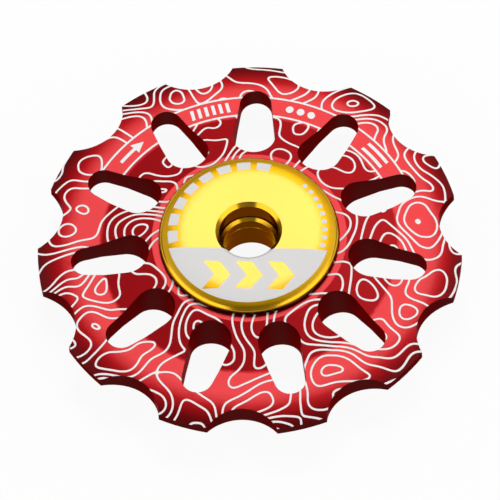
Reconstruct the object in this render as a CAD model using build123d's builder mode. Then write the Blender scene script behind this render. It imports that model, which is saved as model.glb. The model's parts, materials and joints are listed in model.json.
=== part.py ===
from build123d import *
from math import cos, pi, radians, sin
import os

# Derailleur jockey wheel: a toothed aluminium wheel on a small ball bearing, closed by two dust caps.
# Millimetres. The axle runs along Z, the wheel's middle plane is Z = 0, and one tooth points along +Y.

# Chain and teeth
TOOTH_COUNT = 11
CHAIN_PITCH = 12.7
ROLLER_DIAMETER = 7.75
ROLLER_CLEARANCE = 0.3
TOOTH_HEIGHT = 2.1
TOOTH_GAP_RADIUS = 4.06
TOOTH_TIP_THICKNESS = 0.9

# Ball bearing
BEARING_BORE = 8.0
BEARING_DIAMETER = 16.0
BEARING_WIDTH = 4.0
BALL_DIAMETER = 2.0
BALL_COUNT = 9
BALL_CLEARANCE = 0.03
RACE_GROOVE_DEPTH = 0.4
RACE_CHAMFER = 0.2
SEAL_THICKNESS = 0.3
SEAL_INSET = 0.25
SEAL_SEAT_DEPTH = 0.5
SEAL_LIP_GAP = 0.1
CAGE_SIDE_GAP = 0.12
CAGE_END_GAP = 0.1
CAGE_POCKET_CLEARANCE = 0.06
CAGE_RING_THICKNESS = 0.6
CAGE_PRONG_HEIGHT = 0.5
CAGE_PRONG_THICKNESS = 0.4

# Hub of the toothed wheel
BEARING_LIP_THICKNESS = 0.3
BEARING_LIP_WIDTH = 0.5
HUB_WALL = 1.4
HUB_EDGE_ROUNDING = 0.12

# Web, rim and slots of the toothed wheel
RIM_THICKNESS = 2.33
RIM_WIDTH = 4.0
RIM_BLEND_RADIUS = 1.5
TOOTH_ROUNDING_WIDTH = 1.5
SLOT_INNER_RADIUS = 2.05
SLOT_OUTER_RADIUS = 1.52
SLOT_TO_HUB = 0.32
SLOT_TO_TOOTH_ROOT = 1.06

# Dust caps
CAP_THICKNESS = 1.25
CAP_DOME_WIDTH = 2.1
CAP_DOME_DROP = 0.43
CAP_LIP_WIDTH = 0.5
CAP_LIP_EDGE = 0.08
CAP_UNDERSIDE_GAP = 0.15
CAP_SETBACK = 0.67
CAP_BOSS_WIDTH = 0.9
SLEEVE_BORE = 5.1
SLEEVE_END_CHAMFER = 0.08
COUNTERBORE_DIAMETER = 5.7
COUNTERBORE_DEPTH = 2.3
CAP_MOUTH_CHAMFER = 0.37

# Radii of the toothed wheel, from the chain inwards
tooth_angle = 360 / TOOTH_COUNT
pitch_radius = CHAIN_PITCH / (2 * sin(pi / TOOTH_COUNT))
root_radius = pitch_radius - ROLLER_DIAMETER / 2 - ROLLER_CLEARANCE
tip_radius = root_radius + TOOTH_HEIGHT
tooth_gap_centre = root_radius + TOOTH_GAP_RADIUS
rounding_start_radius = root_radius - TOOTH_ROUNDING_WIDTH
rim_inner_radius = root_radius - RIM_WIDTH

# Radii and heights of the hub, from the bearing outwards
seat_radius = BEARING_DIAMETER / 2
hub_radius = seat_radius + HUB_WALL
bearing_face = BEARING_WIDTH / 2
hub_face = bearing_face + BEARING_LIP_THICKNESS
slot_inner_centre = hub_radius + SLOT_TO_HUB + SLOT_INNER_RADIUS
slot_outer_centre = root_radius - SLOT_TO_TOOTH_ROOT - SLOT_OUTER_RADIUS

# Bearing radii
ball_radius = BALL_DIAMETER / 2
ball_pitch_radius = (BEARING_BORE + BEARING_DIAMETER) / 4
groove_radius = ball_radius + BALL_CLEARANCE
outer_land_radius = ball_pitch_radius + ball_radius - RACE_GROOVE_DEPTH
inner_land_radius = ball_pitch_radius - ball_radius + RACE_GROOVE_DEPTH
seal_seat_radius = outer_land_radius + SEAL_SEAT_DEPTH
seal_outer_face = bearing_face - SEAL_INSET
seal_inner_face = seal_outer_face - SEAL_THICKNESS
sleeve_radius = BEARING_BORE / 2

# Cap radii and heights
cap_radius = hub_radius - CAP_SETBACK
boss_radius = sleeve_radius + CAP_BOSS_WIDTH
bore_radius = SLEEVE_BORE / 2
counterbore_radius = COUNTERBORE_DIAMETER / 2
cap_underside = hub_face + CAP_UNDERSIDE_GAP
cap_face = cap_underside + CAP_THICKNESS
lip_inner_radius = cap_radius - CAP_LIP_WIDTH
dome_start_radius = lip_inner_radius - CAP_DOME_WIDTH
dome_foot = cap_face - CAP_DOME_DROP
lip_foot = cap_underside + CAP_LIP_EDGE
ledge_top = cap_face - COUNTERBORE_DEPTH
ledge_foot = ledge_top - (counterbore_radius - bore_radius)

os.makedirs("parts", exist_ok=True)


def save(piece, name):
    piece.part.label = name
    export_step(piece.part, f"parts/{name}.step")


# One slot outline on the X axis: the hull of a wide end near the hub and a narrow end near the teeth
with BuildSketch() as slot:
    with Locations((slot_inner_centre, 0)):
        Circle(SLOT_INNER_RADIUS)
    with Locations((slot_outer_centre, 0)):
        Circle(SLOT_OUTER_RADIUS)
    make_hull()

# Toothed wheel: a turned blank, then the gaps between the teeth, the slots and the bearing lip
with BuildPart() as pulley_wheel:
    with BuildSketch(Plane.XZ):
        with BuildLine():
            turned_face = FilletPolyline(
                (seat_radius, 0),
                (seat_radius, hub_face),
                (hub_radius, hub_face),
                (rim_inner_radius, RIM_THICKNESS / 2),
                (rounding_start_radius, RIM_THICKNESS / 2),
                radius=(0, HUB_EDGE_ROUNDING, RIM_BLEND_RADIUS),
            )
            tooth_face = TangentArc(
                turned_face @ 1,
                (tip_radius, TOOTH_TIP_THICKNESS / 2),
                tangent=turned_face % 1,
            )
            Line(tooth_face @ 1, (tip_radius, 0))
            mirror(about=Plane.XZ)
        make_face()
    revolve(axis=Axis.Z)
    with BuildSketch():
        with PolarLocations(tooth_gap_centre, TOOTH_COUNT, start_angle=90 + tooth_angle / 2):
            Circle(TOOTH_GAP_RADIUS)
    extrude(amount=hub_face, both=True, mode=Mode.SUBTRACT)
    with BuildSketch():
        with PolarLocations(0, TOOTH_COUNT, start_angle=90):
            add(slot.sketch)
    extrude(amount=hub_face, both=True, mode=Mode.SUBTRACT)
    with BuildSketch(Plane.XY.offset(-hub_face)):
        Circle(seat_radius)
        Circle(seat_radius - BEARING_LIP_WIDTH, mode=Mode.SUBTRACT)
    extrude(amount=BEARING_LIP_THICKNESS)
save(pulley_wheel, "pulley_wheel")

# Dust caps: a domed disc with a round lip, a boss that bears on the inner race and a sleeve in its bore
for name, side in (("front_cap", 1), ("rear_cap", -1)):
    with BuildPart() as cap:
        with BuildSketch(Plane.XZ):
            with BuildLine():
                underside = Polyline(
                    (bore_radius + SLEEVE_END_CHAMFER, 0),
                    (sleeve_radius, 0),
                    (sleeve_radius, bearing_face),
                    (boss_radius, bearing_face),
                    (boss_radius, cap_underside),
                    (cap_radius, cap_underside),
                    (cap_radius, lip_foot),
                )
                dome = TangentArc(
                    (dome_start_radius, cap_face),
                    (lip_inner_radius, dome_foot),
                    tangent=(1, 0),
                )
                TangentArc(dome @ 1, underside @ 1, tangent=dome % 1)
                Polyline(
                    dome @ 0,
                    (counterbore_radius + CAP_MOUTH_CHAMFER, cap_face),
                    (counterbore_radius, cap_face - CAP_MOUTH_CHAMFER),
                    (counterbore_radius, ledge_top),
                    (bore_radius, ledge_foot),
                    (bore_radius, SLEEVE_END_CHAMFER),
                    underside @ 0,
                )
            make_face()
        revolve(axis=Axis.Z)
        if side < 0:
            mirror(about=Plane.XY, mode=Mode.REPLACE)
    save(cap, name)

# Bearing races: rings with a round groove, and a seat for a seal at each end of the outer one
with BuildPart() as outer_race:
    Cylinder(seat_radius, BEARING_WIDTH)
    chamfer(outer_race.edges().filter_by(GeomType.CIRCLE), RACE_CHAMFER)
    Hole(outer_land_radius)
    for end in (seal_inner_face, -bearing_face):
        with BuildSketch(Plane.XY.offset(end)):
            Circle(seal_seat_radius)
        extrude(amount=bearing_face - seal_inner_face, mode=Mode.SUBTRACT)
    Torus(ball_pitch_radius, groove_radius, mode=Mode.SUBTRACT)
save(outer_race, "bearing_outer_race")

with BuildPart() as inner_race:
    Cylinder(inner_land_radius, BEARING_WIDTH)
    Hole(sleeve_radius)
    bore_edges = inner_race.edges().filter_by(GeomType.CIRCLE).group_by(SortBy.RADIUS)[0]
    chamfer(bore_edges, RACE_CHAMFER)
    Torus(ball_pitch_radius, groove_radius, mode=Mode.SUBTRACT)
save(inner_race, "bearing_inner_race")

# Balls, evenly spaced on the pitch circle
for index in range(BALL_COUNT):
    ball_direction = radians(90 + index * 360 / BALL_COUNT)
    ball_centre = (ball_pitch_radius * cos(ball_direction), ball_pitch_radius * sin(ball_direction))
    with BuildPart() as ball:
        with Locations(ball_centre):
            Sphere(ball_radius)
    save(ball, f"bearing_ball_{index + 1}")

# Crown cage: a ring below the balls, with a pair of prongs round each ball that clip past its middle
cage_foot = CAGE_END_GAP - seal_inner_face
cage_valley_floor = cage_foot + CAGE_RING_THICKNESS
pocket_radius = ball_radius + CAGE_POCKET_CLEARANCE
ball_spacing = 2 * pi * ball_pitch_radius / BALL_COUNT
cage_valley_width = ball_spacing - 2 * (pocket_radius + CAGE_PRONG_THICKNESS)
with BuildPart() as ball_cage:
    with BuildSketch(Plane.XY.offset(cage_foot)):
        Circle(outer_land_radius - CAGE_SIDE_GAP)
        Circle(inner_land_radius + CAGE_SIDE_GAP, mode=Mode.SUBTRACT)
    extrude(amount=CAGE_PRONG_HEIGHT - cage_foot)
    with BuildSketch(Plane.XY.offset(cage_valley_floor)):
        with PolarLocations(ball_pitch_radius, BALL_COUNT, start_angle=90 + 180 / BALL_COUNT):
            Rectangle(outer_land_radius - inner_land_radius, cage_valley_width)
    extrude(amount=CAGE_PRONG_HEIGHT - cage_valley_floor, mode=Mode.SUBTRACT)
    with PolarLocations(ball_pitch_radius, BALL_COUNT, start_angle=90):
        Sphere(pocket_radius, mode=Mode.SUBTRACT)
save(ball_cage, "ball_cage")

# Seals: flat rings pressed into the outer race, just clear of the inner one
for name, foot in (("front_seal", seal_inner_face), ("rear_seal", -seal_outer_face)):
    with BuildPart() as seal:
        with BuildSketch(Plane.XY.offset(foot)):
            Circle(seal_seat_radius)
            Circle(inner_land_radius + SEAL_LIP_GAP, mode=Mode.SUBTRACT)
        extrude(amount=SEAL_THICKNESS)
    save(seal, name)
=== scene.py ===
# %% [markdown]
# # A derailleur jockey wheel in red and gold
#
# A jockey wheel guides the chain below a bicycle's rear gears. This one is a toothed aluminium wheel on a
# small ball bearing, and two turned dust caps close the bearing from both sides. All of its pieces exist
# already as exact solids, in their real places and sizes. This lesson gives each of them its finish, and
# then sets up a floor, a camera and the light for its picture.

# %% Load the solids
import json
import math

import bpy
from mathutils import Matrix, Vector


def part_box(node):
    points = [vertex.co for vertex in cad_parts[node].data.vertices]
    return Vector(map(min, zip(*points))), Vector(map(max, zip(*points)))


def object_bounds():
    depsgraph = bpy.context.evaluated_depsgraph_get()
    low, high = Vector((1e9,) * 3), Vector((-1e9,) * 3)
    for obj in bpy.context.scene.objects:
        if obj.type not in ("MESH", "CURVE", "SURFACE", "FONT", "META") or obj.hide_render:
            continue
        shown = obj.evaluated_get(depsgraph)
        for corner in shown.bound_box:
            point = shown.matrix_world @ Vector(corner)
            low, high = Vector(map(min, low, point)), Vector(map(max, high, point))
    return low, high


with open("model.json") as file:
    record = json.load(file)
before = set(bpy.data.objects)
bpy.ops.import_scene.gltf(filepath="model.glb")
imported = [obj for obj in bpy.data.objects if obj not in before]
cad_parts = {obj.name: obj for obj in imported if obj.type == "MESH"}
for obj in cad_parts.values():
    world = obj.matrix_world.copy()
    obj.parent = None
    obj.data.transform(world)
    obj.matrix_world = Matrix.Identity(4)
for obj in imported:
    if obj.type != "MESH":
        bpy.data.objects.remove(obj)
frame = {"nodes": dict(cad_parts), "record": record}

cad_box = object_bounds()
print("pieces:", ", ".join(sorted(frame["nodes"])))

# %% [markdown]
# ## Measure before painting
#
# The marks on the wheel follow its turned steps, so their places come from the solids themselves. One could
# type the radii in again, but then a change to the solids would leave the paint behind. Millimetres are the
# natural unit for a part this small, so the sizes in the finishes below are in millimetres.

# %% Reach of the teeth and the cap
MM = 0.001
TOOTH_COUNT = 11

tip_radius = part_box("pulley_wheel")[1].y / MM
cap_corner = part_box("front_cap")[1] / MM
cap_radius = cap_corner.x
tooth_angle = 360 / TOOTH_COUNT
print(f"teeth reach {tip_radius:.2f} mm, the cap {cap_radius:.2f} mm, its face is {cap_corner.z:.2f} mm up")

# %% [markdown]
# ## Shader maths as plain sums
#
# A pattern on metal is arithmetic: a distance, a threshold, a product of masks. Wiring that by hand takes
# dozens of Math nodes. A small class that wraps one socket and understands `+`, `*` or `<` lets a formula
# be written as a formula, and each operator adds the Math node that does it. A mask runs from 0 to 1, so
# `&` is a product, `|` takes the larger one and `~` turns it over.

# %% A socket that can be calculated with
class Wire:
    """One output of a node. Arithmetic on it adds Math nodes."""

    def __init__(self, recipe, socket):
        self.recipe = recipe
        self.socket = socket

    def math(self, operation, *others):
        return self.recipe.math(operation, self, *others)

    def output(self, name):
        return Wire(self.recipe, self.socket.node.outputs[name])

    def __add__(self, other):
        return self.math("ADD", other)

    def __sub__(self, other):
        return self.math("SUBTRACT", other)

    def __rsub__(self, other):
        return self.recipe.math("SUBTRACT", other, self)

    def __mul__(self, other):
        return self.math("MULTIPLY", other)

    def __truediv__(self, other):
        return self.math("DIVIDE", other)

    def __rtruediv__(self, other):
        return self.recipe.math("DIVIDE", other, self)

    def __lt__(self, other):
        return self.math("LESS_THAN", other)

    def __gt__(self, other):
        return self.math("GREATER_THAN", other)

    def __and__(self, other):
        return self.math("MULTIPLY", other)

    def __or__(self, other):
        return self.math("MAXIMUM", other)

    def __invert__(self):
        return 1 - self

    def __abs__(self):
        return self.math("ABSOLUTE")

    __radd__ = __add__
    __rmul__ = __mul__


# %% One way to add any node
class Recipe:
    """A node tree and the one method that adds nodes to it."""

    # The Mix node has sockets for every kind of data, so those for colours go by number.
    COLOUR_OFF = 6
    COLOUR_ON = 7
    COLOUR_RESULT = 2

    def __init__(self, tree):
        self.tree = tree

    def feed(self, socket, value):
        if isinstance(value, Wire):
            self.tree.links.new(value.socket, socket)
        else:
            socket.default_value = value

    def node(self, kind, settings=None, sockets=None, output=0):
        made = self.tree.nodes.new(kind)
        for name, value in (settings or {}).items():
            setattr(made, name, value)
        for name, value in (sockets or {}).items():
            self.feed(made.inputs[name], value)
        return Wire(self, made.outputs[output])

    def math(self, operation, *values):
        return self.node("ShaderNodeMath", {"operation": operation}, dict(enumerate(values)))

    def mix(self, mask, off, on):
        """A colour that goes from off to on as the mask goes from 0 to 1."""
        sockets = {0: mask, self.COLOUR_OFF: off, self.COLOUR_ON: on}
        return self.node("ShaderNodeMix", {"data_type": "RGBA"}, sockets, self.COLOUR_RESULT)

    def fade(self, value, start, end):
        """0 before start, 1 past end, and a smooth step between them. Start may be the larger one."""
        sockets = {"Value": value, "From Min": start, "From Max": end}
        return self.node("ShaderNodeMapRange", {"interpolation_type": "SMOOTHSTEP"}, sockets)


# %% [markdown]
# ## Where a point lies on the wheel
#
# Every mark here is turned, milled or engraved about the axle, so radius and clock angle are more useful
# than x and y. A UV map could hold them, but the solids have none. Object coordinates need no map, and they
# stay with the piece when it spins. The angle runs clockwise from the first tooth, as on a clock face seen
# from the front.

# %% Polar coordinates in millimetres
def length(x, y):
    return (x * x + y * y).math("SQRT")


class Place:
    """Where the shaded point is on the piece, and how far the surface there faces up or down."""

    def __init__(self, recipe):
        coordinates = recipe.node("ShaderNodeTexCoord", output="Object")
        scaling = {0: coordinates, "Scale": 1 / MM}
        self.spot = recipe.node("ShaderNodeVectorMath", {"operation": "SCALE"}, scaling)
        split = recipe.node("ShaderNodeSeparateXYZ", sockets={0: self.spot})
        self.x = split
        self.y = split.output("Y")
        self.z = split.output("Z")
        self.radius = length(self.x, self.y)
        self.angle = recipe.math("ARCTAN2", self.x, self.y) * math.degrees(1)
        facing = recipe.node("ShaderNodeSeparateXYZ", sockets={0: coordinates.output("Normal")})
        self.upright = abs(facing.output("Z"))

    def along(self, angle):
        """Distance from a ray at that clock angle, measured round the circle."""
        return (self.angle - angle) * math.radians(1) * self.radius


# %% [markdown]
# ## What the finishes share
#
# Most of these finishes have a slow change of colour, a fine grain and a trace of relief. The anodised
# pieces also have edges that are slightly broken, as a tumbling drum leaves them. Chamfers could be cut
# into the solids, but at a few hundredths of a millimetre a Bevel node in the shading looks the same. The
# noise is measured in millimetres, so that the grain keeps its real scale from piece to piece.

# %% Helpers for every finish
EDGE_ROUNDING = 0.07
EDGE_SAMPLES = 6


def new_finish(name):
    material = bpy.data.materials.new(name)
    material.use_nodes = True
    recipe = Recipe(material.node_tree)
    return material, recipe, Place(recipe)


def apply_finish(material, recipe, sockets):
    shader = material.node_tree.nodes["Principled BSDF"]
    for name, value in sockets.items():
        recipe.feed(shader.inputs[name], value)
    print(f"{material.name}: {len(material.node_tree.nodes)} nodes")
    return material


def noise(recipe, spot, size, detail=0.0, warp=0.0):
    """Soft noise around 0.5 whose lumps are about size millimetres wide."""
    sockets = {"Vector": spot, "Scale": 1 / size, "Detail": detail, "Distortion": warp}
    return recipe.node("ShaderNodeTexNoise", sockets=sockets)


def relief(recipe, height, broken_edges=False):
    """A normal bent by a height in millimetres, and rounded at the edges where that is asked for."""
    sockets = {"Height": height, "Distance": MM}
    if broken_edges:
        rounding = {"Radius": EDGE_ROUNDING * MM}
        sockets["Normal"] = recipe.node("ShaderNodeBevel", {"samples": EDGE_SAMPLES}, rounding)
    return recipe.node("ShaderNodeBump", sockets=sockets)


# %% [markdown]
# ## Laser lines
#
# The red wheel is engraved by a laser that burns the dye away and leaves matt white lines of one width.
# Curves laid on the wheel could show them, but they would add thousands of faces for lines with no
# thickness. A contour map gives such lines as a mask: noise is the height of a landscape, and a line is
# drawn at every level. Drawn by height alone, a line would swell where the ground is flat. Dividing the
# height difference by the slope turns it into a true distance, so all lines come out equally thin. The
# slope needs the noise at two more points close by.

# %% Contour lines of one width
LINE_WIDTH = 0.2
LINE_SOFTNESS = 0.03
CONTOUR_LUMP = 4.2
CONTOUR_LEVELS = 9
CONTOUR_WARP = 0.1
SLOPE_STEP = 0.02
FLATTEST_SLOPE = 0.015
SIDE_SPACING = 40.0


def line(recipe, distance, width=LINE_WIDTH):
    return recipe.fade(distance, (width + LINE_SOFTNESS) / 2, (width - LINE_SOFTNESS) / 2)


def contour_lines(recipe, place):
    # The two sides of the wheel take their landscapes from far apart in the noise, so that they differ.
    side = place.z.math("SIGN") * SIDE_SPACING

    def ground(step_x, step_y):
        corner = {"X": place.x + step_x, "Y": place.y + step_y, "Z": side}
        spot = recipe.node("ShaderNodeCombineXYZ", sockets=corner)
        return noise(recipe, spot, CONTOUR_LUMP, warp=CONTOUR_WARP)

    here = ground(0, 0)
    slope_x = (ground(SLOPE_STEP, 0) - here) / SLOPE_STEP
    slope_y = (ground(0, SLOPE_STEP) - here) / SLOPE_STEP
    slope = length(slope_x, slope_y).math("MAXIMUM", FLATTEST_SLOPE)
    to_level = abs((here * CONTOUR_LEVELS).math("FRACT") - 0.5) / CONTOUR_LEVELS
    return line(recipe, to_level / slope)


print(f"laser lines {LINE_WIDTH} mm wide, hills about {CONTOUR_LUMP} mm across")

# %% [markdown]
# ## The plain band and its marks
#
# On the front, four of the spokes between the slots carry a plain band with a thin line along each edge,
# and a small mark in it: a turning arrow, a row of ticks, three dots and a pair of bars. Text objects or
# small meshes could carry such marks, but an engraved mark has no body of its own. So they are drawn as
# distances from simple shapes, in a small grid laid round the circle at the middle of the band.

# %% Four marks for four spokes
MARK_STROKE = 0.34
ARROW_HALF_LENGTH = 1.6
ARROW_HEAD = 1.2
ARROW_TAPER = 2
TICK_SPACING = 0.7
TICK_HALF_HEIGHT = 0.55
TICK_ROW = 2.1
DOT_RADIUS = 0.38
DOT_SPACING = 1.1
OUTER_DOT = 1
BAR_OFFSET = 0.38
BAR_HALF_LENGTH = 1.45


def arrow(recipe, along, across):
    from_shaft_middle = abs(along + ARROW_HEAD / 2)
    from_point = ARROW_HALF_LENGTH - along
    shaft = line(recipe, abs(across), MARK_STROKE) & (from_shaft_middle < ARROW_HALF_LENGTH - ARROW_HEAD / 2)
    head = (abs(across) * ARROW_TAPER < from_point) & (from_point < ARROW_HEAD)
    return shaft | head


def ticks(recipe, along, across):
    from_tick = abs((along / TICK_SPACING).math("FRACT") - 0.5) * TICK_SPACING
    inside = (abs(across) < TICK_HALF_HEIGHT) & (abs(along) < TICK_ROW)
    return line(recipe, from_tick, MARK_STROKE) & inside


def dots(recipe, along, across):
    nearest = (along / DOT_SPACING).math("ROUND").math("MAXIMUM", -OUTER_DOT).math("MINIMUM", OUTER_DOT)
    return line(recipe, length(along - nearest * DOT_SPACING, across), 2 * DOT_RADIUS)


def bars(recipe, along, across):
    return line(recipe, abs(abs(across) - BAR_OFFSET), MARK_STROKE) & (abs(along) < BAR_HALF_LENGTH)


# %% Band that carries the marks
BAND_TO_TIP = 3.87
BAND_WIDTH = 2.0
SPOKE_MARKS = (arrow, ticks, dots, bars)

band_outer = tip_radius - BAND_TO_TIP
band_inner = band_outer - BAND_WIDTH
band_middle = (band_outer + band_inner) / 2
band_reach = len(SPOKE_MARKS) / 2 * tooth_angle


def band_and_marks(recipe, place):
    """The mask of the band, and the mask of its edge lines and marks."""
    across = place.radius - band_middle
    inside = abs(across) < BAND_WIDTH / 2
    reach = (abs(place.angle) < band_reach) & (place.z > 0)
    white = line(recipe, abs(abs(across) - BAND_WIDTH / 2))
    for index, mark in enumerate(SPOKE_MARKS):
        spoke = (index + 0.5) * tooth_angle - band_reach
        white = white | mark(recipe, place.along(spoke), across)
    return inside & reach, white & reach


print(f"band from {band_inner:.2f} to {band_outer:.2f} mm, {band_reach:.1f} degrees to each side")

# %% [markdown]
# ## Red anodised aluminium
#
# Anodising grows a clear, dyed skin of oxide on the bare metal. Plain red paint in a shader would look like
# enamel, because two reflections meet here: the satin metal below reflects broadly and in colour, and the
# smooth skin above adds a thin, colourless one. A metallic Principled shader with a coat does just that, so
# flat faces flash pale where they mirror the softbox and the sloping web stays deep red. The rounded flanks
# of the teeth and the milled walls of the slots look darker on the real wheel, and here that is painted
# shade: the more a face slopes, the darker its red, and the walls get a dark red of their own. How upright
# the normal is, from 0 on a wall to 1 on a flat face, tells them apart.

# %% Colours and grain of the red wheel
RED_FACE = (0.36, 0.003, 0.006, 1)
RED_DEEP = (0.32, 0.0025, 0.005, 1)
# Painted shade: a darker red for faces that slope, most of all the rounded flanks of the teeth.
RED_FLANK_SHADE = (0.08, 0.006, 0.007, 1)
# Painted shade: a dark red for the milled walls of the slots.
RED_WALL_SHADE = (0.058, 0.021, 0.02, 1)
RED_EDGE = (0.75, 0.06, 0.08, 1)
LASER_WHITE = (0.93, 0.93, 0.92, 1)
RED_WALL_TO_FACE = (0.4, 0.7)
FLANK_TO_LEVEL = (0.9, 0.99)
RED_LUMP = 7.0
GRAIN_SIZE = 0.09
GRAIN_HEIGHT = 0.004
LASER_DEPTH = 0.015
RED_WALL_ROUGHNESS = 0.34
RED_FACE_ROUGHER = 0.1
GRAIN_ROUGHER = 0.08
LASER_ROUGHER = 0.2
RED_COAT = 0.22
RED_COAT_ROUGHNESS = 0.26


def red_anodised():
    material, recipe, place = new_finish("red_anodised_aluminium")
    face = recipe.fade(place.upright, *RED_WALL_TO_FACE)
    level = recipe.fade(place.upright, *FLANK_TO_LEVEL)
    band, marks = band_and_marks(recipe, place)
    laser = ((contour_lines(recipe, place) & ~band) | marks) & face
    grain = noise(recipe, place.spot, GRAIN_SIZE, detail=2.0)
    cloud = noise(recipe, place.spot, RED_LUMP, detail=1.0)
    dyed = recipe.mix(cloud, RED_FACE, RED_DEEP)
    # Painted shade: the less level a face is, the more it takes the darker red.
    rounded = recipe.mix(level, RED_FLANK_SHADE, dyed)
    roughness = RED_WALL_ROUGHNESS + RED_FACE_ROUGHER * face
    height = grain * GRAIN_HEIGHT - laser * LASER_DEPTH
    # Painted shade: faces that stand upright, the slot walls, take the dark red in the base colour.
    sockets = {
        "Base Color": recipe.mix(laser, recipe.mix(face, RED_WALL_SHADE, rounded), LASER_WHITE),
        "Metallic": 1 - laser,
        "Roughness": roughness + GRAIN_ROUGHER * grain + LASER_ROUGHER * laser,
        "Coat Weight": RED_COAT * (face & ~laser),
        "Specular Tint": RED_EDGE,
        "Coat Roughness": RED_COAT_ROUGHNESS,
        "Normal": relief(recipe, height, broken_edges=True),
    }
    return apply_finish(material, recipe, sockets)


finishes = {"red_anodised": red_anodised()}

# %% [markdown]
# ## Grey print on the front cap
#
# The front cap carries a pad print in pale grey: a panel with three arrowheads left open, a row of dashes
# and a row of dots. A print could be a thin mesh on the cap, but ink is thinner than any useful mesh, so it
# is a mask with a trace of height.

# %% Panel, dashes and dots
PRINT_MARGIN = 0.85
PANEL_TOP = -2.0
HEAD_MIDDLE = -5.0
HEAD_HALF_HEIGHT = 1.5
HEAD_PITCH = 3.1
HEAD_SHARE = 0.5
HEAD_SLANT = 0.75
HEAD_ROW = 4.6
PRINT_RING_INSET = 1.4
DASH_WIDTH = 0.95
DASH_PITCH = 15.0
DASH_SHARE = 0.68
DASH_ARC = (-101, 15)
PRINT_DOT_RADIUS = 0.27
PRINT_DOT_PITCH = 7.0
PRINT_DOT_ARC = (42, 105)

print_ring = cap_radius - PRINT_RING_INSET


def between(value, limits):
    return (value > limits[0]) & (value < limits[1])


def panel_with_heads(place):
    panel = (place.radius < cap_radius - PRINT_MARGIN) & (place.y < PANEL_TOP)
    from_middle = abs(place.y - HEAD_MIDDLE)
    slanted = place.x + HEAD_SLANT * from_middle
    heads = ((slanted / HEAD_PITCH).math("FRACT") < HEAD_SHARE) & (abs(slanted) < HEAD_ROW)
    return panel & ~(heads & (from_middle < HEAD_HALF_HEIGHT))


def dash_row(place):
    across = abs(place.radius - print_ring)
    along = ((place.angle - DASH_ARC[0]) / DASH_PITCH).math("FRACT")
    return (along < DASH_SHARE) & (across < DASH_WIDTH / 2) & between(place.angle, DASH_ARC)


def dot_row(place):
    from_dot = (place.angle / PRINT_DOT_PITCH).math("FRACT") - 0.5
    along = from_dot * math.radians(PRINT_DOT_PITCH) * place.radius
    spots = length(along, place.radius - print_ring) < PRINT_DOT_RADIUS
    return spots & between(place.angle, PRINT_DOT_ARC)


def grey_print(place):
    return (panel_with_heads(place) | dash_row(place) | dot_row(place)) & (place.z > 0)


print(f"dashes and dots on a circle of {print_ring:.2f} mm")

# %% [markdown]
# ## Gold anodised caps
#
# The caps are turned on a lathe, and the tool leaves faint rings that a fine wave of the radius can copy.
# An anisotropic shader could stretch the highlights instead, but real rings also catch the light one by
# one. The flat face is blasted, so it is the roughest. The dome round it is smoother, and the bore, its
# chamfers and the lip are left as the tool cut them. The walls of the bore look brown on the real cap, and
# here that is painted shade: the walls and other steep faces get a dark brown of their own.

# %% Colour and lathe rings of the gold caps
GOLD = (0.90, 0.49, 0.003, 1)
GOLD_DEEP = (0.84, 0.45, 0.002, 1)
# Painted shade: a dark brown for the walls of the bore and the other steep faces of the caps.
GOLD_WALL_SHADE = (0.10, 0.028, 0.003, 1)
GOLD_EDGE = (0.9, 0.55, 0.1, 1)
PRINT_GREY = (0.74, 0.745, 0.755, 1)
GOLD_WALL_TO_FACE = (0.2, 0.7)
CHAMFER_TO_DOME = (0.75, 0.9)
DOME_TO_FLAT = (0.94, 0.998)
RING_PITCH = 0.11
RING_HEIGHT = 0.0012
INK_HEIGHT = 0.01
GOLD_LUMP = 5.0
BORE_ROUGHNESS = 0.13
DOME_ROUGHER = 0.21
FLAT_ROUGHER = 0.18
INK_ROUGHER = 0.1
GOLD_COAT = 0.48
GOLD_COAT_ROUGHNESS = 0.2


def gold_anodised():
    material, recipe, place = new_finish("gold_anodised_aluminium")
    face = recipe.fade(place.upright, *GOLD_WALL_TO_FACE)
    domed = recipe.fade(place.upright, *CHAMFER_TO_DOME)
    flat = recipe.fade(place.upright, *DOME_TO_FLAT)
    ink = grey_print(place) & face
    rings = (place.radius * (2 * math.pi / RING_PITCH)).math("SINE")
    grain = noise(recipe, place.spot, GRAIN_SIZE, detail=2.0)
    cloud = noise(recipe, place.spot, GOLD_LUMP, detail=1.0)
    dyed = recipe.mix(cloud, GOLD, GOLD_DEEP)
    roughness = BORE_ROUGHNESS + DOME_ROUGHER * domed + FLAT_ROUGHER * flat
    height = rings * RING_HEIGHT + ink * INK_HEIGHT
    # Painted shade: faces far from upright take the dark brown in the base colour.
    sockets = {
        "Base Color": recipe.mix(ink, recipe.mix(face, GOLD_WALL_SHADE, dyed), PRINT_GREY),
        "Metallic": 1 - ink,
        "Roughness": roughness + GRAIN_ROUGHER * grain + INK_ROUGHER * ink,
        "Coat Weight": GOLD_COAT * (face & ~ink),
        "Specular Tint": GOLD_EDGE,
        "Coat Roughness": GOLD_COAT_ROUGHNESS,
        "Normal": relief(recipe, height, broken_edges=True),
    }
    return apply_finish(material, recipe, sockets)


finishes["gold_anodised"] = gold_anodised()

# %% [markdown]
# ## Bearing steel
#
# The races are ground while they spin, so their marks run round the axle. Noise that depends only on the
# radius and the height gives such rings, where plain noise would give spots. The balls are polished and
# show no more than a breath of oil, so for them slow, plain noise is right.

# %% Ground races and polished balls
STEEL = (0.60, 0.61, 0.62, 1)
STEEL_DARK = (0.48, 0.49, 0.50, 1)
STEEL_ROUGHNESS = (0.22, 0.38)
GRIND_SIZE = 0.05
BALL_STEEL = (0.74, 0.75, 0.76, 1)
BALL_OILED = (0.66, 0.66, 0.64, 1)
BALL_ROUGHNESS = (0.04, 0.14)
OIL_LUMP = 0.8


def blend(mask, off, on):
    """A number that goes from off to on as the mask goes from 0 to 1."""
    return off + (on - off) * mask


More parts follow.
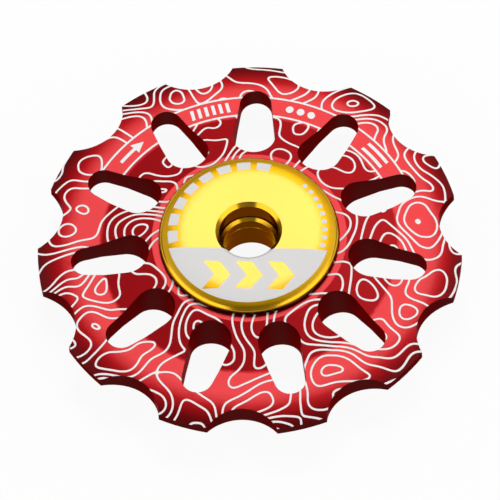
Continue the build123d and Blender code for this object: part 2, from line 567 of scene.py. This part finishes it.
def ground_steel():
    material, recipe, place = new_finish("ground_bearing_steel")
    rings = recipe.node("ShaderNodeCombineXYZ", sockets={"X": place.radius, "Y": place.z})
    scratches = noise(recipe, rings, GRIND_SIZE, detail=3.0)
    sockets = {
        "Base Color": recipe.mix(scratches, STEEL, STEEL_DARK),
        "Metallic": 1.0,
        "Roughness": blend(scratches, *STEEL_ROUGHNESS),
        "Normal": relief(recipe, scratches * GRAIN_HEIGHT),
    }
    return apply_finish(material, recipe, sockets)


def polished_steel():
    material, recipe, place = new_finish("polished_ball_steel")
    oil = noise(recipe, place.spot, OIL_LUMP, detail=2.0)
    sockets = {
        "Base Color": recipe.mix(oil, BALL_STEEL, BALL_OILED),
        "Metallic": 1.0,
        "Roughness": blend(oil, *BALL_ROUGHNESS),
    }
    return apply_finish(material, recipe, sockets)


finishes["bearing_steel"] = ground_steel()
finishes["ball_steel"] = polished_steel()

# %% [markdown]
# ## Nylon and rubber
#
# The cage is moulded from natural nylon, which is ivory and slightly cloudy, and the seals are black rubber
# with a fine grain. Nylon lets some light in, and subsurface scattering could show that. Inside a closed
# bearing nobody would see it, so a change of colour stands for the cloud.

# %% Nylon cage and rubber seals
NYLON = (0.80, 0.77, 0.66, 1)
NYLON_CLOUDY = (0.70, 0.66, 0.54, 1)
NYLON_ROUGHNESS = (0.42, 0.57)
NYLON_LUMP = 1.2
RUBBER = (0.030, 0.030, 0.033, 1)
RUBBER_WORN = (0.055, 0.055, 0.058, 1)
RUBBER_ROUGHNESS = (0.6, 0.8)
RUBBER_GRAIN = 0.12
RUBBER_RELIEF = 0.01


def moulded_nylon():
    material, recipe, place = new_finish("natural_nylon")
    cloud = noise(recipe, place.spot, NYLON_LUMP, detail=2.0)
    sockets = {
        "Base Color": recipe.mix(cloud, NYLON, NYLON_CLOUDY),
        "Roughness": blend(cloud, *NYLON_ROUGHNESS),
    }
    return apply_finish(material, recipe, sockets)


def black_rubber():
    material, recipe, place = new_finish("black_seal_rubber")
    grain = noise(recipe, place.spot, RUBBER_GRAIN, detail=3.0)
    sockets = {
        "Base Color": recipe.mix(grain, RUBBER, RUBBER_WORN),
        "Roughness": blend(grain, *RUBBER_ROUGHNESS),
        "Normal": relief(recipe, grain * RUBBER_RELIEF),
    }
    return apply_finish(material, recipe, sockets)


finishes["cage_nylon"] = moulded_nylon()
finishes["seal_rubber"] = black_rubber()

# %% [markdown]
# ## Dress the pieces
#
# Each material could be assigned to its pieces by hand, but the record already says which material slot
# each piece has. So one table from slot to finish is enough to dress them all. The solids keep their shape
# and place, and only the material in their slot changes.

# %% Put each finish on its pieces
for subpart in frame["record"]["subparts"]:
    piece = frame["nodes"][subpart["node"]]
    piece.material_slots[0].material = finishes[subpart["material_slot"]]
    print(f"{subpart['node']}: {piece.material_slots[0].material.name}")

# %% [markdown]
# ## Floor
#
# The wheel lies on its rear cap on a white table. A floor that is only lit would turn grey under the wheel,
# and brighter lamps would spoil the metal. So most of what the camera and the reflections see of the floor
# is an even white, and the rest is an ordinary lit surface that keeps a soft shadow.

# %% White floor with a soft shadow
FLOOR_RADIUS = 2.5
FLOOR_SIDES = 96
FLOOR_WHITE = (0.88, 0.88, 0.88, 1)
EVEN_WHITE = (1, 1, 1, 1)
EVEN_SHARE = 0.93

floor_height = cad_box[0].z
bpy.ops.object.select_all(action="DESELECT")
bpy.ops.mesh.primitive_circle_add(
    vertices=FLOOR_SIDES, radius=FLOOR_RADIUS, fill_type="NGON", location=(0, 0, floor_height)
)
floor = bpy.context.object
floor.name = "floor"

paper = bpy.data.materials.new("white_paper")
paper.use_nodes = True
paper.node_tree.nodes.remove(paper.node_tree.nodes["Principled BSDF"])
recipe = Recipe(paper.node_tree)
ray = recipe.node("ShaderNodeLightPath", output="Is Camera Ray")
seen = ray | ray.output("Is Glossy Ray") | ray.output("Is Transmission Ray")
lit = recipe.node("ShaderNodeBsdfDiffuse", sockets={"Color": FLOOR_WHITE})
even = recipe.node("ShaderNodeEmission", sockets={"Color": EVEN_WHITE, "Strength": 1.0})
surface = recipe.node("ShaderNodeMixShader", sockets={0: seen * EVEN_SHARE, 1: lit, 2: even})
recipe.feed(paper.node_tree.nodes["Material Output"].inputs["Surface"], surface)
floor.data.materials.append(paper)
print(f"floor at {floor_height / MM:.2f} mm")

# %% [markdown]
# ## Camera
#
# The photograph was taken from a little right of the first tooth and steeply from above, with a long lens,
# so the ellipse of the wheel hardly tapers. An orthographic camera would come close, but a long lens keeps
# the slight taper. The camera repeats the direction and the small tilt of the photograph. It comes before
# the lights, because a flat face flashes only where it mirrors a lamp towards the camera.

# %% Camera at the photograph's angle
VIEW_AZIMUTH = math.radians(5.323)
VIEW_ELEVATION = math.radians(58.863)
VIEW_ROLL = math.radians(-3.732)
CAMERA_DISTANCE = 1.205
LENS = 900

towards_camera = Vector((
    math.sin(VIEW_AZIMUTH) * math.cos(VIEW_ELEVATION),
    -math.cos(VIEW_AZIMUTH) * math.cos(VIEW_ELEVATION),
    math.sin(VIEW_ELEVATION),
))
turn = Matrix.Rotation(VIEW_AZIMUTH, 4, "Z")
tip_up = Matrix.Rotation(math.pi / 2 - VIEW_ELEVATION, 4, "X")
roll = Matrix.Rotation(VIEW_ROLL, 4, "Z")

bpy.ops.object.camera_add()
camera = bpy.context.object
camera.matrix_world = Matrix.Translation(towards_camera * CAMERA_DISTANCE) @ turn @ tip_up @ roll
camera.data.lens = LENS
bpy.context.scene.camera = camera
bpy.context.scene.view_settings.view_transform = "Standard"
print(f"camera {CAMERA_DISTANCE} m away, {LENS} mm lens")

# %% [markdown]
# ## Softbox
#
# Metal shows what it mirrors, so a lamp is placed by reflection and not by eye. One round softbox stands
# behind the wheel, just where the flat faces mirror it towards the camera. They flash, and the slopes
# beside them stay dark. Its power follows from how bright its face should look and from its area, so the
# size can change without a change of brightness.

# %% Softbox behind the wheel
SOFTBOX_DISTANCE = 0.6
SOFTBOX_TURN = math.radians(-7)
SOFTBOX_HALF_ANGLE = math.radians(14)
SOFTBOX_RADIANCE = 8.9

mirrored = Vector((-towards_camera.x, -towards_camera.y, towards_camera.z))
towards_softbox = Matrix.Rotation(SOFTBOX_TURN, 3, "Z") @ mirrored

bpy.ops.object.light_add(type="AREA", location=towards_softbox * SOFTBOX_DISTANCE)
softbox = bpy.context.object
softbox.name = "softbox"
softbox.rotation_mode = "QUATERNION"
softbox.rotation_quaternion = towards_softbox.to_track_quat("Z", "Y")
softbox.data.shape = "DISK"
softbox.data.size = 2 * SOFTBOX_DISTANCE * math.tan(SOFTBOX_HALF_ANGLE)
softbox_area = math.pi * softbox.data.size ** 2 / 4
softbox.data.energy = SOFTBOX_RADIANCE * math.pi * softbox_area
print(f"softbox {softbox.data.size / MM:.0f} mm wide, {softbox.data.energy:.2f} W")

# %% [markdown]
# ## Studio
#
# The rest of the studio is drawn into the world by direction, where a level of 1 is white. Real cards and
# panels could be modelled, but they would stand in the way of other views. The horizon is white, like the
# table. Two low white cards stand at the front, left and right, with a gap towards the camera: the chamfers
# in the bore show them as bright crescents with a dark middle. Grey panels at both sides, the right one
# brighter, light the sides of the dome. The ceiling is dark, and darkest above the front, which the near
# side of the dome mirrors.

# %% Cards, panels and ceiling
HORIZON = 1.0
HORIZON_FADE = (0.06, 0.025)
CARD = 1.6
CARD_FRONT_FADE = (0.2, -0.1)
CARD_TOP_FADE = (0.75, 0.55)
CARD_LEFT_FADE = (-0.26, -0.38)
CARD_RIGHT_FADE = (0.42, 0.54)
PANEL_LEFT = 0.6
PANEL_RIGHT = 0.95
PANEL_FADE = (0.42, 0.62)
PANEL_FOOT_FADE = (0.2, 0.4)
CEILING_LEFT = 0.12
CEILING_RIGHT = 0.26
CEILING_FADE = (-0.6, 0.6)
CEILING_FRONT = 0.03
CEILING_FRONT_FADE = (0.1, -0.15)
CEILING_FRONT_FOOT_FADE = (0.7, 0.85)

studio = bpy.data.worlds.new("studio")
studio.use_nodes = True
bpy.context.scene.world = studio
recipe = Recipe(studio.node_tree)
direction = recipe.node("ShaderNodeTexCoord", output="Generated")
right = recipe.node("ShaderNodeSeparateXYZ", sockets={0: direction})
back = right.output("Y")
up = right.output("Z")

level = blend(recipe.fade(right, *CEILING_FADE), CEILING_LEFT, CEILING_RIGHT)
above_front = recipe.fade(back, *CEILING_FRONT_FADE) & recipe.fade(up, *CEILING_FRONT_FOOT_FADE)
level = blend(above_front, level, CEILING_FRONT)
panels = recipe.fade(abs(right), *PANEL_FADE) & recipe.fade(up, *PANEL_FOOT_FADE)
level = blend(panels, level, blend(right > 0, PANEL_LEFT, PANEL_RIGHT))
low_front = recipe.fade(back, *CARD_FRONT_FADE) & recipe.fade(up, *CARD_TOP_FADE)
cards = low_front & (recipe.fade(right, *CARD_LEFT_FADE) | recipe.fade(right, *CARD_RIGHT_FADE))
level = blend(cards, level, CARD)
level = blend(recipe.fade(up, *HORIZON_FADE), level, HORIZON)
recipe.feed(studio.node_tree.nodes["Background"].inputs["Color"], level)
print(f"studio: {len(studio.node_tree.nodes)} nodes")
